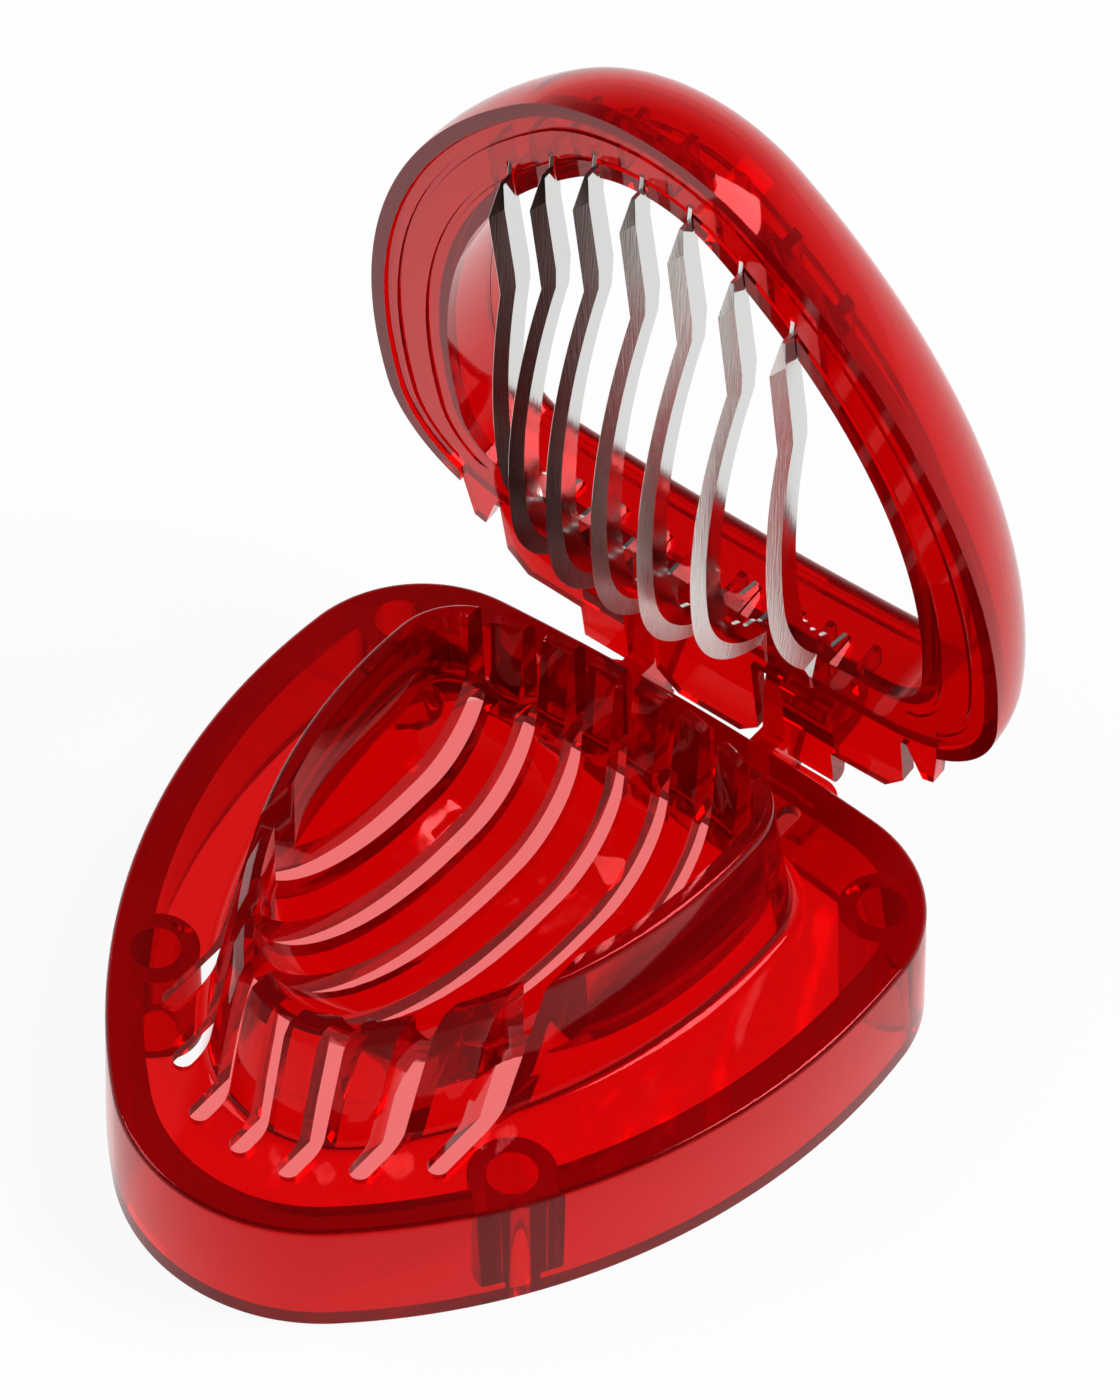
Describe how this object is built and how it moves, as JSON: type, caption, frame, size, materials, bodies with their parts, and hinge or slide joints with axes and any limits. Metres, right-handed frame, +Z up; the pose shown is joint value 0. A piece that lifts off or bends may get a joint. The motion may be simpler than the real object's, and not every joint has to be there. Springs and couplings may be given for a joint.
{
  "type": "fruit slicer",
  "caption": "Hinged fruit slicer: a drop-shaped base with a slotted cup, and a domed ring lid that carries bowed blades.",
  "frame": {"origin": "on the table under the middle of the resting slicer's bounding box, lid open", "axes": "+X along the hinge, across the blades; +Y from the tip towards the hinge; +Z up"},
  "size_m": [0.0898, 0.1062, 0.1229],
  "materials": {
    "base_plastic": "gloss, see-through",
    "lid_plastic": "gloss, see-through",
    "blade_steel": "ground"
  },
  "bodies": {
    "base": {"base": "base_plastic"},
    "lid": {"blade_frame": "lid_plastic", "lid_cover": "lid_plastic", "blade_1": "blade_steel", "blade_2": "blade_steel", "blade_3": "blade_steel", "blade_4": "blade_steel", "blade_5": "blade_steel", "blade_6": "blade_steel", "blade_7": "blade_steel"}
  },
  "joints": [
    {"name": "lid_hinge", "type": "hinge", "parent": "base", "child": "lid", "pos_m": [0, 0.04889, 0.0228], "axis": [1, 0, 0], "range_deg": [-10, 80.9]}
  ]
}
